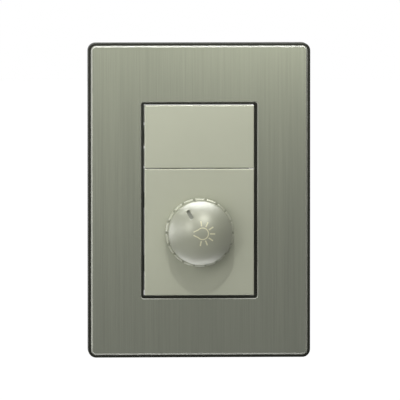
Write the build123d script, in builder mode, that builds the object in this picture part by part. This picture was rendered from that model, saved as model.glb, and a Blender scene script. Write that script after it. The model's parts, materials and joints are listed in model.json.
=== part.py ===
from build123d import *
from math import asin, cos, degrees, radians, sin, sqrt
import os

# Dimmer switch in a three-place wall plate, in millimetres.
# X runs to the right, Y runs into the wall and Z runs up. The wall is the plane Y = 0, and
# the origin is the middle of the cover on that plane. A height is the distance of a face
# in front of the wall, so a height below zero lies inside the wall box.

# Cover
cover_width = 84.7
cover_height = 120.0
cover_corner = 3.0
cover_wall = 1.5
cover_web = 1.4
rim_width = 1.05
rim_round = 0.4
wall_gap = 0.3
cover_rib = 1.0
cover_rib_depth = 1.1
pry_notch_width = 10.0
pry_notch_depth = 1.6

# Metal facing
facing_thickness = 0.8
facing_proud = 0.4
facing_corner = 2.0
facing_bevel_width = 0.6
facing_bevel_depth = 0.45
window_bevel = 0.25
window_corner = 1.0
tab_width = 6.0
tab_foot = 1.8
tab_column = 31.5
tab_row = 31.0

# Module places and the faces that fill them
place_height = 24.25
place_count = 3
dimmer_place_count = 2
module_gap = 0.2
face_width = 41.85
face_height = 8.3
face_thickness = 1.8
face_edge = 0.25
skirt_inset = 0.3
skirt_wall = 1.2
lining_thickness = 0.8
lining_drop = 0.3
lining_side_gap = 0.4
lining_end_gap = 0.3

# Clearances
slide_fit = 0.05
turn_fit = 0.05
snap_play = 0.1
open_play = 0.3

# Mounting frame
frame_side_gap = 5.85
frame_end_gap = 3.5
frame_thickness = 2.4
frame_corner = 5.0
frame_rim = 1.2
frame_rim_height = 4.0
rail_width = 3.5
rail_height = 4.6
opening_side_gap = 0.375
opening_end_gap = 0.325

# Snap hooks of the modules in the rails
hook_catch = 0.8
hook_width = 6.0
hook_top = 3.3
hook_land = 0.7
hook_bottom = 1.1
hook_slit = 1.0
hook_slit_top = 4.2

# Snap hooks of the cover in the frame
post_side_margin = 8.0
post_end_margin = 9.6
post_width = 6.0
post_thickness = 1.6
barb_catch = 0.8
barb_bottom = 0.5
barb_depth = 0.7

# Screws into the wall box
screw_margin = 5.15
screw_radius = 1.75
screw_neck_radius = 1.45
screw_length = 25.0
screw_head_radius = 3.7
screw_head_height = 2.2
screw_recess = 1.2
screw_recess_width = 1.0
screw_recess_length = 4.4
screw_slot_width = 5.0
screw_slot_length = 11.0

# Blank insert
blank_depth = 12.3
blank_rib = 1.0
blank_rib_depth = 1.3
blank_rib_pitch = 10.0

# Dimmer module housing
housing_wall = 1.5
housing_end_inset = 1.15
housing_depth = 28.0
housing_top = 4.0
housing_lip = 1.1
housing_lip_height = 2.2
strap_column = 10.0
strap_width = 8.0
strap_thickness = 1.05
strap_bottom = -6.0
strap_window_width = 5.2
strap_window_height = 2.8
strap_window_middle = -3.0
catch_lift = 0.8
vent_width = 1.5
vent_length = 12.0
vent_pitch = 3.6
vent_count = 5
vent_drop = 8.0
corner_post = 2.5

# Dial axis, knob and pointer
knob_base = 9.1
knob_skirt_radius = 13.05
knob_skirt_top = 12.3
knob_skirt_round = 0.6
knob_side_radius = 12.15
knob_side_top = 15.8
knob_dome_rise = 5.2
knob_dome_round = 0.25
knob_shell = 1.6
knob_edge = 0.3
notch_count = 18
notch_width = 1.0
pointer_angle = 120.0
pointer_radius = 8.36
pointer_length = 4.1
pointer_width = 1.4
pointer_depth = 0.9
hub_radius = 4.7
hub_base = 11.4
hub_slit = 1.2
knob_rib = 1.0
knob_rib_count = 6
knob_rib_gap = 0.2
knob_rib_bite = 0.8
ring_spring_thickness = 0.6
ring_spring_height = 1.6
ring_spring_gap = 2.0
ring_spring_step = 0.5

# Potentiometer
shaft_radius = 3.0
shaft_flat = 1.5
shaft_top = 18.6
collar_radius = 4.0
collar_height = 0.6
bushing_radius = 3.5
bushing_top = 11.0
flange_top = 3.5
flange_thickness = 1.0
boss_radius = 6.5
washer_thickness = 0.5
washer_radius = 5.5
washer_tooth = 0.9
washer_tooth_count = 12
nut_across_flats = 10.0
nut_height = 2.0
can_radius = 8.4
can_wall = 0.5
can_depth = 6.5
rotor_radius = 7.2
rotor_disc = 1.2
rotor_hub_radius = 4.6
rotor_hub_height = 1.0
stop_inner = 5.0
stop_outer = 7.3
stop_width = 58.0
stop_angle = 270.0
stop_play = 0.4
wiper_thickness = 0.3
wiper_inner = 3.6
wiper_outer = 6.6
wiper_finger = 1.2
wiper_finger_count = 3
wafer_thickness = 1.0
lug_pitch = 2.5
lug_width = 1.2
lug_thickness = 0.4
lug_reach = 10.4
lug_overlap = 0.85
switch_width = 15.0
switch_height = 13.0
switch_depth = 6.0
switch_pin_pitch = 10.0

# Circuit board and what it carries
board_top = -16.0
board_thickness = 1.6
pin_radius = 0.4
pin_through = 0.6
pin_fit = 0.25
choke_side_gap = 1.525
choke_drop = 8.0
choke_radius = 7.0
choke_hole = 3.5
choke_width = 5.0
winding_thickness = 0.9
winding_turns = 24
winding_groove = 0.5
winding_groove_depth = 0.35
filter_side_gap = 1.325
filter_end_gap = 1.4
filter_width = 6.6
filter_length = 18.0
filter_height = 12.0
filter_corner = 0.8
timing_side_gap = 2.125
timing_end_gap = 1.5
timing_width = 7.0
timing_thickness = 2.6
timing_height = 6.0
resistor_side_gap = 1.625
resistor_rise = 6.1
resistor_pitch = 3.5
resistor_count = 3
resistor_radius = 1.2
resistor_length = 5.6
resistor_span = 8.0
diac_side_gap = 1.625
diac_rise = 7.6
diac_radius = 0.95
diac_length = 3.8
diac_span = 7.0
lead_radius = 0.3
lead_bend = 0.8
fuse_radius = 2.6
fuse_length = 20.0
fuse_cap = 5.0
fuse_glass_radius = 2.3
fuse_end_gap = 2.55
fuse_lift = 4.5
clip_side = 7.5
clip_width = 3.0
clip_thickness = 0.5

# Triac on its heat sink
sink_end_gap = 0.2
sink_thickness = 1.5
sink_width = 30.0
sink_top = 3.0
sink_flange = 6.5
sink_flange_thickness = 1.2
triac_width = 10.2
triac_thickness = 4.5
triac_body_height = 9.0
triac_leg = 2.5
triac_tab_thickness = 1.3
triac_tab_height = 6.0
triac_leg_pitch = 2.54
triac_leg_width = 0.8
triac_leg_inset = 2.4
triac_hole_rise = 3.0
triac_screw_radius = 1.5
triac_head_radius = 2.8
triac_head_height = 2.0

# Wire terminals
terminal_side_gap = 0.625
terminal_end_gap = 0.7
clamp_width = 7.0
clamp_length = 7.6
clamp_front_wall = 1.2
clamp_rear_wall = 1.8
clamp_side_wall = 1.3
wire_space = 4.2
wire_entry_radius = 2.1
clamp_screw_radius = 1.5
clamp_screw_head_radius = 2.5
clamp_screw_head_height = 1.5
clamp_screw_reach = 2.3
driver_hole_radius = 2.2

# Faces, window and openings worked out from the sizes above
stack_height = place_count * place_height - module_gap
stack_top = stack_height / 2
dimmer_height = dimmer_place_count * place_height - module_gap
dimmer_z = dimmer_height / 2 - stack_top
blank_height = (place_count - dimmer_place_count) * place_height - module_gap
blank_z = stack_top - blank_height / 2
skirt_width = face_width - 2 * skirt_inset
face_back = face_height - face_thickness
lining_inner_width = face_width + 2 * lining_side_gap
lining_inner_height = stack_height + 2 * lining_end_gap
lining_outer_width = lining_inner_width + 2 * lining_thickness
lining_outer_height = lining_inner_height + 2 * lining_thickness
window_width = lining_outer_width + 2 * slide_fit
window_height = lining_outer_height + 2 * slide_fit
facing_back = face_height - facing_thickness
facing_width = cover_width - 2 * rim_width
facing_height = cover_height - 2 * rim_width
rim_front = face_height - facing_proud
web_back = facing_back - cover_web
opening_width = skirt_width + 2 * opening_side_gap
opening_height = stack_height + 2 * opening_end_gap
cover_inner_width = cover_width - 2 * cover_wall
cover_inner_height = cover_height - 2 * cover_wall
frame_width = cover_inner_width - 2 * frame_side_gap
frame_height = cover_inner_height - 2 * frame_end_gap
post_column = frame_width / 2 - post_side_margin
post_row = frame_height / 2 - post_end_margin
screw_pitch = opening_height + 2 * screw_margin
post_bottom = barb_bottom
ledge_bottom = barb_bottom + barb_depth + snap_play

# The middle of each module place, from the bottom one up
place_middles = [
    place * place_height + (place_height - module_gap) / 2 - stack_top
    for place in range(place_count)
]
dimmer_middles = place_middles[:dimmer_place_count]
blank_middles = place_middles[dimmer_place_count:]

# The dial turns about this line, which points into the room
dial_axis = Axis((0, 0, dimmer_z), (0, -1, 0))

os.makedirs("parts", exist_ok=True)


def ahead(height):
    """Plane parallel to the wall at this height, with X to the right and Z up."""
    return Plane.XZ.offset(height)


def level(z):
    """Plane across the plate at this Z, with X to the right and the height up."""
    return Plane(origin=(0, 0, z), x_dir=(1, 0, 0), z_dir=(0, 0, -1))


def upright(x):
    """Plane along the plate at this X, with Z to the right and the height up."""
    return Plane(origin=(x, 0, 0), x_dir=(0, 0, 1), z_dir=(1, 0, 0))


def ring_sector(inner, outer, middle_angle, sweep_angle):
    """Flat piece of a ring, its angles anticlockwise from the right."""
    reach = 1.2 * outer / cos(radians(sweep_angle / 2))
    first = radians(middle_angle - sweep_angle / 2)
    last = radians(middle_angle + sweep_angle / 2)
    with BuildSketch(Plane.XY) as sector:
        Circle(outer)
        Circle(inner, mode=Mode.SUBTRACT)
        with BuildLine():
            Polyline(
                (0, 0),
                (reach * cos(first), reach * sin(first)),
                (reach * cos(last), reach * sin(last)),
                close=True,
            )
        make_face(mode=Mode.INTERSECT)
    return sector.sketch


def side_hook(wall_x):
    """Snap hook on the right-hand side wall of a module, about Z = 0."""
    tip_x = opening_width / 2 + hook_catch
    with BuildPart() as hook:
        with BuildSketch(level(0)):
            with BuildLine():
                Polyline(
                    (wall_x - skirt_wall / 2, hook_top),
                    (tip_x, hook_top),
                    (tip_x, hook_top - hook_land),
                    (wall_x, hook_bottom),
                    (wall_x - skirt_wall / 2, hook_bottom),
                    close=True,
                )
            make_face()
        extrude(amount=hook_width / 2, both=True)
        mirror(about=Plane.YZ)
    return hook.part


def axial_component(radius, length, span, shoulder):
    """Small part lying along X over the board, on a lead bent down at both ends."""
    lie = board_top + radius + open_play
    foot = board_top - board_thickness - pin_through
    with BuildPart() as component:
        with BuildLine(level(0)):
            FilletPolyline(
                (-span / 2, foot), (-span / 2, lie), (span / 2, lie), (span / 2, foot),
                radius=lead_bend,
            )
        with BuildSketch(Plane(origin=(-span / 2, -foot, 0), z_dir=(0, -1, 0))):
            Circle(lead_radius)
        sweep()
        with BuildSketch(Plane(origin=(-length / 2, -lie, 0), z_dir=(1, 0, 0))):
            Circle(radius)
        extrude(amount=length)
        ends = component.faces().filter_by(Axis.X).filter_by(GeomType.PLANE)
        chamfer(ends.edges().filter_by(lambda edge: edge.radius > lead_radius * 1.5), shoulder)
    return component.part


# Facing: a brushed metal sheet with bevelled edges, held by tabs folded over behind the cover
tab_back = web_back - facing_thickness - slide_fit
with BuildPart() as facing_plate:
    with BuildSketch(ahead(facing_back)):
        RectangleRounded(facing_width, facing_height, facing_corner)
        RectangleRounded(window_width, window_height, window_corner, mode=Mode.SUBTRACT)
    extrude(amount=facing_thickness)
    facing_front = facing_plate.faces().sort_by(Axis.Y)[0]
    chamfer(
        facing_front.outer_wire().edges(),
        length=facing_bevel_width,
        length2=facing_bevel_depth,
        reference=facing_front,
    )
    facing_front = facing_plate.faces().sort_by(Axis.Y)[0]
    chamfer(facing_front.inner_wires()[0].edges(), length=window_bevel)
    for tab_z in (-tab_row, 0, tab_row):
        with BuildSketch(level(tab_z)):
            with BuildLine():
                Polyline(
                    (tab_column, facing_back),
                    (tab_column + facing_thickness, facing_back),
                    (tab_column + facing_thickness, tab_back + facing_thickness),
                    (tab_column + facing_thickness + tab_foot, tab_back + facing_thickness),
                    (tab_column + facing_thickness + tab_foot, tab_back),
                    (tab_column, tab_back),
                    close=True,
                )
            make_face()
            mirror(about=Plane.YZ)
        extrude(amount=tab_width / 2, both=True)
facing_plate.part.label = "facing_plate"
export_step(facing_plate.part, "parts/facing_plate.step")

# Cover: moulded shell with a raised rim, a window lining, ribs, four snap hooks and a notch
lining_back = rail_height + open_play
lining_front = face_height - lining_drop
side_rib_length = (cover_inner_width - lining_outer_width) / 2
end_rib_length = (cover_inner_height - lining_outer_height) / 2
with BuildPart() as cover_frame:
    with BuildSketch(ahead(wall_gap)):
        RectangleRounded(cover_width, cover_height, cover_corner)
    extrude(amount=rim_front - wall_gap)
    fillet(cover_frame.faces().sort_by(Axis.Y)[0].edges(), radius=rim_round)
    with BuildSketch(ahead(facing_back)):
        RectangleRounded(
            facing_width + 2 * slide_fit, facing_height + 2 * slide_fit, facing_corner + slide_fit
        )
    extrude(amount=facing_thickness, mode=Mode.SUBTRACT)
    with BuildSketch(ahead(wall_gap)):
        RectangleRounded(cover_inner_width, cover_inner_height, cover_corner - cover_wall)
    extrude(amount=web_back - wall_gap, mode=Mode.SUBTRACT)
    with BuildSketch(ahead(lining_back)):
        RectangleRounded(lining_outer_width, lining_outer_height, window_corner - slide_fit)
    extrude(amount=lining_front - lining_back)
    with BuildSketch(ahead(web_back - cover_rib_depth)):
        with GridLocations(lining_outer_width + side_rib_length, 2 * place_height, 2, 2):
            Rectangle(side_rib_length, cover_rib)
        with GridLocations(2 * place_height, lining_outer_height + end_rib_length, 2, 2):
            Rectangle(cover_rib, end_rib_length)
    extrude(amount=cover_rib_depth)
    with BuildSketch(ahead(lining_back)):
        Rectangle(lining_inner_width, lining_inner_height)
    extrude(amount=lining_front - lining_back, mode=Mode.SUBTRACT)
    with BuildSketch(ahead(web_back)):
        tab_slot = facing_thickness + 2 * slide_fit
        with GridLocations(2 * tab_column + facing_thickness, tab_row, 2, 3):
            Rectangle(tab_slot, tab_width + 2 * slide_fit)
    extrude(amount=cover_web, mode=Mode.SUBTRACT)
    for post_x in (-post_column, post_column):
        with BuildSketch(upright(post_x)):
            with BuildLine():
                Polyline(
                    (post_row - post_thickness / 2, web_back),
                    (post_row - post_thickness / 2, post_bottom),
                    (post_row + post_thickness / 2, post_bottom),
                    (post_row + post_thickness / 2 + barb_catch, post_bottom + barb_depth / 2),
                    (post_row + post_thickness / 2 + barb_catch, post_bottom + barb_depth),
                    (post_row + post_thickness / 2, post_bottom + barb_depth),
                    (post_row + post_thickness / 2, web_back),
                    close=True,
                )
            make_face()
            mirror(about=Plane.YZ)
        extrude(amount=post_width / 2, both=True)
    with BuildSketch(ahead(wall_gap)):
        with Locations((0, -cover_height / 2 + cover_wall / 2)):
            Rectangle(pry_notch_width, 2 * cover_wall)
    extrude(amount=pry_notch_depth, mode=Mode.SUBTRACT)
cover_frame.part.label = "cover_frame"
export_step(cover_frame.part, "parts/cover_frame.step")

# Mounting frame: it is screwed to the wall box, holds the modules and carries the cover
pocket_depth = hook_catch + open_play
socket_height = post_thickness + 2 * open_play
undercut_reach = barb_catch + open_play
with BuildPart() as mounting_frame:
    with BuildSketch(ahead(0)):
        RectangleRounded(frame_width, frame_height, frame_corner)
    extrude(amount=frame_rim_height)
    with BuildSketch(ahead(frame_thickness)):
        RectangleRounded(
            frame_width - 2 * frame_rim, frame_height - 2 * frame_rim, frame_corner - frame_rim
        )
    extrude(amount=frame_rim_height - frame_thickness, mode=Mode.SUBTRACT)
    with BuildSketch(ahead(frame_thickness)):
        with GridLocations(opening_width + rail_width, 1, 2, 1):
            Rectangle(rail_width, opening_height)
    extrude(amount=rail_height - frame_thickness)
    fillet(
        mounting_frame.edges().filter_by(Axis.Z).group_by(Axis.Y)[0].filter_by(
            lambda edge: abs(edge.center().X) > opening_width / 2 + rail_width / 2
        ),
        radius=rail_width / 4,
    )
    with BuildSketch(ahead(0)):
        Rectangle(opening_width, opening_height)
    extrude(amount=rail_height, mode=Mode.SUBTRACT)
    with BuildSketch(ahead(hook_bottom - snap_play)):
        for middle in place_middles:
            with Locations((0, middle)):
                Rectangle(opening_width + 2 * pocket_depth, hook_width + 2 * open_play)
    extrude(amount=hook_top - hook_bottom + 2 * snap_play, mode=Mode.SUBTRACT)
    with BuildSketch(ahead(0)):
        with GridLocations(1, screw_pitch, 1, 2):
            SlotOverall(screw_slot_length, screw_slot_width)
        with GridLocations(2 * post_column, 2 * post_row, 2, 2):
            Rectangle(post_width + 2 * open_play, socket_height)
    extrude(amount=frame_thickness, mode=Mode.SUBTRACT)
    with BuildSketch(ahead(0)):
        with GridLocations(2 * post_column, 2 * (post_row + undercut_reach / 2), 2, 2):
            Rectangle(post_width + 2 * open_play, socket_height + undercut_reach)
    extrude(amount=ledge_bottom, mode=Mode.SUBTRACT)
mounting_frame.part.label = "mounting_frame"
export_step(mounting_frame.part, "parts/mounting_frame.step")

# Two pan-head screws that hold the frame to the wall box
with BuildPart() as box_screws:
    with BuildSketch(ahead(frame_thickness)):
        with GridLocations(1, screw_pitch, 1, 2):
            Circle(screw_head_radius)
    extrude(amount=screw_head_height)
    fillet(box_screws.faces().group_by(Axis.Y)[0].edges(), radius=screw_head_height / 3)
    with BuildSketch(ahead(frame_thickness)):
        with GridLocations(1, screw_pitch, 1, 2):
            Circle(screw_neck_radius)
    extrude(amount=-frame_thickness)
    with BuildSketch(ahead(0)):
        with GridLocations(1, screw_pitch, 1, 2):
            Circle(screw_radius)
    extrude(amount=frame_thickness - screw_length)
    chamfer(box_screws.faces().group_by(Axis.Y)[-1].edges(), length=screw_radius / 2)
    with BuildSketch(ahead(frame_thickness + screw_head_height)):
        with GridLocations(1, screw_pitch, 1, 2):
            Rectangle(screw_recess_length, screw_recess_width)
            Rectangle(screw_recess_width, screw_recess_length)
    extrude(amount=-screw_recess, mode=Mode.SUBTRACT)
box_screws.part.label = "box_screws"
export_step(box_screws.part, "parts/box_screws.step")

# Blank insert: a plain face on a snap-in skirt that fills the top place
blank_skirt_height = blank_height - 2 * skirt_inset
blank_back = face_height - blank_depth
skirt_hook = side_hook(skirt_width / 2)
with BuildPart() as blank_insert:
    with BuildSketch(ahead(face_back)):
        with Locations((0, blank_z)):
            Rectangle(face_width, blank_height)
    extrude(amount=face_thickness)
    chamfer(blank_insert.faces().sort_by(Axis.Y)[0].edges(), length=face_edge)
    with BuildSketch(ahead(blank_back)):
        with Locations((0, blank_z)):
            Rectangle(skirt_width, blank_skirt_height)
            Rectangle(
                skirt_width - 2 * skirt_wall, blank_skirt_height - 2 * skirt_wall, mode=Mode.SUBTRACT
            )
    extrude(amount=face_back - blank_back)
    with BuildSketch(ahead(face_back - blank_rib_depth)):
        with Locations((0, blank_z)):
            Rectangle(skirt_width - skirt_wall, blank_rib)
            with GridLocations(blank_rib_pitch, 1, 3, 1):
                Rectangle(blank_rib, blank_skirt_height - skirt_wall)
    extrude(amount=blank_rib_depth)
    with BuildSketch(ahead(blank_back)):
        for middle in blank_middles:
            with Locations((0, middle)):
                with GridLocations(skirt_width - skirt_wall, hook_width + 3 * hook_slit, 2, 2):
                    Rectangle(2 * skirt_wall, hook_slit)
    extrude(amount=hook_slit_top - blank_back, mode=Mode.SUBTRACT)
    with Locations(*[(0, 0, middle) for middle in blank_middles]):
        add(skirt_hook)
blank_insert.part.label = "blank_insert"
export_step(blank_insert.part, "parts/blank_insert.step")

# Dimmer cover: the face of the dimmer module, with a boss for the dial and four latch straps
dimmer_skirt_height = dimmer_height - 2 * skirt_inset
housing_height = dimmer_skirt_height - 2 * housing_end_inset
strap_z = dimmer_skirt_height / 2 - strap_thickness / 2
with BuildPart() as dimmer_cover:
    with BuildSketch(ahead(face_back)):
        with Locations((0, dimmer_z)):
            Rectangle(face_width, dimmer_height)
    extrude(amount=face_thickness)
    chamfer(dimmer_cover.faces().sort_by(Axis.Y)[0].edges(), length=face_edge)
    with BuildSketch(ahead(housing_top)):
        with Locations((0, dimmer_z)):
            Rectangle(skirt_width, dimmer_skirt_height)
            Rectangle(
                skirt_width - 2 * skirt_wall, dimmer_skirt_height - 2 * skirt_wall, mode=Mode.SUBTRACT
            )
    extrude(amount=face_back - housing_top)
    with BuildSketch(ahead(strap_bottom)):
        with Locations((0, dimmer_z)):
            with GridLocations(2 * strap_column, 2 * strap_z, 2, 2):
                Rectangle(strap_width, strap_thickness)
    extrude(amount=face_back - strap_bottom)
    for strap_side in (-1, 1):
        with BuildSketch(level(dimmer_z + strap_side * strap_z)):
            with Locations((-strap_column, strap_window_middle), (strap_column, strap_window_middle)):
                Rectangle(strap_window_width, strap_window_height)
        extrude(amount=strap_thickness, both=True, mode=Mode.SUBTRACT)
    with BuildSketch(ahead(flange_top)):
        with Locations((0, dimmer_z)):
            Circle(boss_radius)
    extrude(amount=face_back - flange_top)
    with BuildSketch(ahead(flange_top)):
        with Locations((0, dimmer_z)):
            Circle(bushing_radius + snap_play)
    extrude(amount=face_height - flange_top, mode=Mode.SUBTRACT)
dimmer_cover.part.label = "dimmer_cover"
export_step(dimmer_cover.part, "parts/dimmer_cover.step")

# Module housing: the box behind the dimmer cover, with catches, vents and wire entries
housing_back = -housing_depth
floor_front = housing_back + housing_wall
inner_width = skirt_width - 2 * housing_wall
inner_height = housing_height - 2 * housing_wall
lip_width = skirt_width - 2 * skirt_wall - 2 * slide_fit
lip_height = dimmer_skirt_height - 2 * skirt_wall - 2 * slide_fit
terminal_z = dimmer_z + inner_height / 2 - terminal_end_gap - clamp_length / 2
terminal_pitch = inner_width / 2 - corner_post - terminal_side_gap - clamp_width / 2
board_back = board_top - board_thickness
clamp_back = board_back - clamp_front_wall - wire_space - clamp_rear_wall
wire_height = board_back - clamp_front_wall - wire_space / 2
housing_end = dimmer_z + housing_height / 2
catch_bottom = strap_window_middle - strap_window_height / 2 + open_play
catch_top = strap_window_middle + strap_window_height / 2 - open_play
with BuildPart() as module_housing:
    with BuildSketch(ahead(housing_back)):
        with Locations((0, dimmer_z)):
            Rectangle(skirt_width, housing_height)
    extrude(amount=housing_top - housing_back)
    chamfer(module_housing.faces().sort_by(Axis.Y)[-1].edges(), length=housing_wall / 2)
    with BuildSketch(ahead(housing_top)):
        with Locations((0, dimmer_z)):
            Rectangle(lip_width, min(lip_height, housing_height))
    extrude(amount=housing_lip_height)
    with BuildSketch(ahead(floor_front)):
        with Locations((0, dimmer_z)):
            Rectangle(inner_width, inner_height)
    extrude(amount=housing_top - floor_front, mode=Mode.SUBTRACT)
    with BuildSketch(ahead(housing_top)):
        with Locations((0, dimmer_z)):
            Rectangle(lip_width - 2 * housing_lip, inner_height)
    extrude(amount=housing_lip_height, mode=Mode.SUBTRACT)
    with BuildSketch(ahead(floor_front)):
        with Locations((0, dimmer_z)):
            with GridLocations(inner_width - corner_post, inner_height - corner_post, 2, 2):
                Rectangle(corner_post, corner_post)
    extrude(amount=board_back - floor_front)
    with Locations(*[(0, 0, middle) for middle in dimmer_middles]):
        add(skirt_hook)
    for strap_x in (-strap_column, strap_column):
        for side in (-1, 1):
            wall_z = dimmer_z + side * housing_height / 2
            with BuildSketch(upright(strap_x)):
                with BuildLine():
                    Polyline(
                        (wall_z, catch_bottom),
                        (wall_z + side * catch_lift, catch_bottom),
                        (wall_z, catch_top),
                        close=True,
                    )
                make_face()
            extrude(amount=strap_window_width / 2 - open_play, both=True)
    with BuildSketch(ahead(housing_back)):
        with Locations((0, dimmer_z - vent_drop)):
            with GridLocations(1, vent_pitch, 1, vent_count):
                SlotOverall(vent_length, vent_width)
        with Locations((0, terminal_z)):
            with GridLocations(terminal_pitch, 1, 3, 1):
                Circle(driver_hole_radius)
    extrude(amount=housing_wall, mode=Mode.SUBTRACT)
    with BuildSketch(level(housing_end)):
        with Locations((0, wire_height)):
            with GridLocations(terminal_pitch, 1, 3, 1):
                Circle(wire_entry_radius)
    extrude(amount=housing_wall, mode=Mode.SUBTRACT)
module_housing.part.label = "module_housing"
export_step(module_housing.part, "parts/module_housing.step")

# Knob: a domed shell with a notched skirt, a slit hub and a pointer sunk into the dome
dome_top = knob_side_top + knob_dome_rise
dome_sphere = (knob_side_radius**2 + knob_dome_rise**2) / (2 * knob_dome_rise)
dome_centre = dome_top - dome_sphere
dome_angle = degrees(asin(knob_side_radius / dome_sphere))
inner_radius = knob_side_radius - knob_shell
inner_sphere = dome_sphere - knob_shell
inner_angle = degrees(asin(inner_radius / inner_sphere))
inner_side_top = dome_centre + sqrt(inner_sphere**2 - inner_radius**2)
hub_top = dome_centre + inner_sphere
bore_top = shaft_top + open_play
ring_base = hub_base + ring_spring_step
rib_base = ring_base + ring_spring_height + knob_rib_gap
rib_top = inner_side_top + knob_rib_bite
pointer_rise = sqrt(dome_sphere**2 - pointer_radius**2)
pointer_height = dome_centre + pointer_rise
pointer_slope = pointer_radius / pointer_rise
quarter_turn = 90.0
pointer_out = Vector(cos(radians(pointer_angle)), 0, sin(radians(pointer_angle)))
room_side = Vector(0, -1, 0)
pointer_plane = Plane(
    origin=Vector(0, -pointer_height, dimmer_z) + pointer_out * pointer_radius,
    x_dir=pointer_out - room_side * pointer_slope,
    z_dir=room_side + pointer_out * pointer_slope,
)
with BuildPart() as knob:
    with BuildSketch(level(dimmer_z)) as knob_profile:
        with BuildLine():
            Polyline(
                (0, dome_top),
                (0, knob_base),
                (knob_skirt_radius - knob_edge, knob_base),
                (knob_skirt_radius, knob_base + knob_edge),
                (knob_skirt_radius, knob_skirt_top - knob_skirt_round),
            )
            RadiusArc(
                (knob_skirt_radius, knob_skirt_top - knob_skirt_round),
                (knob_skirt_radius - knob_skirt_round, knob_skirt_top),
                -knob_skirt_round,
            )
            Polyline(
                (knob_skirt_radius - knob_skirt_round, knob_skirt_top),
                (knob_side_radius, knob_skirt_top),
                (knob_side_radius, knob_side_top),
            )
            CenterArc((0, dome_centre), dome_sphere, quarter_turn - dome_angle, dome_angle)
        make_face()
        fillet(
            knob_profile.vertices().sort_by_distance((knob_side_radius, knob_side_top))[0],
            radius=knob_dome_round,
        )
    revolve(axis=dial_axis)
    with BuildSketch(level(dimmer_z)):
        with BuildLine():
            Polyline(
                (0, hub_top),
                (0, knob_base),
                (inner_radius, knob_base),
                (inner_radius, inner_side_top),
            )
            CenterArc((0, dome_centre), inner_sphere, quarter_turn - inner_angle, inner_angle)
        make_face()
    revolve(axis=dial_axis, mode=Mode.SUBTRACT)
    with BuildSketch(ahead(rib_base)):
        with Locations((0, dimmer_z)):
            with PolarLocations((hub_radius + inner_radius) / 2, knob_rib_count):
                Rectangle(inner_radius - hub_radius + knob_rib, knob_rib)
    extrude(amount=rib_top - rib_base)
    with BuildSketch(ahead(hub_base)):
        with Locations((0, dimmer_z)):
            Circle(hub_radius)
    extrude(amount=hub_top - hub_base)
    with BuildSketch(ahead(hub_base)):
        with Locations((0, dimmer_z)):
            Circle(shaft_radius + slide_fit)
            with Locations((0, shaft_flat + slide_fit + shaft_radius)):
                Rectangle(2 * hub_radius, 2 * shaft_radius, mode=Mode.SUBTRACT)
    extrude(amount=bore_top - hub_base, mode=Mode.SUBTRACT)
    with BuildSketch(ahead(hub_base)):
        with Locations((0, dimmer_z)):
            Rectangle(2 * hub_radius, hub_slit)
    extrude(amount=rib_base - hub_base, mode=Mode.SUBTRACT)
    notch_depth = knob_skirt_radius - knob_side_radius
    with BuildSketch(ahead(knob_base)):
        with Locations((0, dimmer_z)):
            with PolarLocations(knob_skirt_radius, notch_count, start_angle=pointer_angle):
                Rectangle(2 * notch_depth, notch_width)
    extrude(amount=knob_skirt_top - knob_base, mode=Mode.SUBTRACT)
    with BuildSketch(pointer_plane.offset(-pointer_depth)):
        SlotOverall(pointer_length, pointer_width)
    extrude(amount=knob_dome_rise, mode=Mode.SUBTRACT)
knob.part.label = "knob"
export_step(knob.part, "parts/knob.step")

# Ring spring: a split steel ring that squeezes the slit hub onto the shaft
with BuildPart() as knob_ring_spring:
    with BuildSketch(ahead(ring_base)):
        with Locations((0, dimmer_z)):
            Circle(hub_radius + slide_fit + ring_spring_thickness)
            Circle(hub_radius + slide_fit, mode=Mode.SUBTRACT)
            with Locations((0, -hub_radius)):
                Rectangle(ring_spring_gap, hub_radius, mode=Mode.SUBTRACT)
    extrude(amount=ring_spring_height)
knob_ring_spring.part.label = "knob_ring_spring"
export_step(knob_ring_spring.part, "parts/knob_ring_spring.step")

# Potentiometer shaft: round in the bushing, with a flat in the knob and a collar below
flange_bottom = flange_top - flange_thickness
shaft_flat_base = bushing_top + snap_play
collar_top = flange_bottom - open_play
rotor_top = collar_top - collar_height - rotor_hub_height
rotor_bottom = rotor_top - rotor_disc
with BuildPart() as pot_shaft:
    with BuildSketch(ahead(rotor_bottom)):
        with Locations((0, dimmer_z)):
            Circle(shaft_radius)
    extrude(amount=shaft_top - rotor_bottom)
    chamfer(pot_shaft.faces().sort_by(Axis.Y)[0].edges(), length=slide_fit * 8)
    with BuildSketch(ahead(collar_top - collar_height)):
        with Locations((0, dimmer_z)):
            Circle(collar_radius)
    extrude(amount=collar_height)
    with BuildSketch(ahead(shaft_flat_base)):
        with Locations((0, dimmer_z + shaft_flat + shaft_radius)):
            Rectangle(4 * shaft_radius, 2 * shaft_radius)
    extrude(amount=shaft_top - shaft_flat_base, mode=Mode.SUBTRACT)
pot_shaft.part.label = "pot_shaft"
export_step(pot_shaft.part, "parts/pot_shaft.step")

# Rotor: a moulded disc on the shaft, with the lug that meets the stop
lug_top = flange_bottom - stop_play
with BuildPart() as pot_rotor:
    with BuildSketch(ahead(rotor_bottom)):
        with Locations((0, dimmer_z)):
            Circle(rotor_radius)
    extrude(amount=rotor_disc)
    with BuildSketch(ahead(rotor_top)):
        with Locations((0, dimmer_z)):
            Circle(rotor_hub_radius)
    extrude(amount=rotor_hub_height)
    with BuildSketch(ahead(rotor_top)):
        with Locations((0, dimmer_z)):
            add(ring_sector(stop_inner, rotor_radius, pointer_angle, stop_width))
    extrude(amount=lug_top - rotor_top)
    with BuildSketch(ahead(rotor_bottom)):
        with Locations((0, dimmer_z)):
            Circle(shaft_radius + slide_fit)
    extrude(amount=rotor_disc + rotor_hub_height, mode=Mode.SUBTRACT)
pot_rotor.part.label = "pot_rotor"
export_step(pot_rotor.part, "parts/pot_rotor.step")

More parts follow.
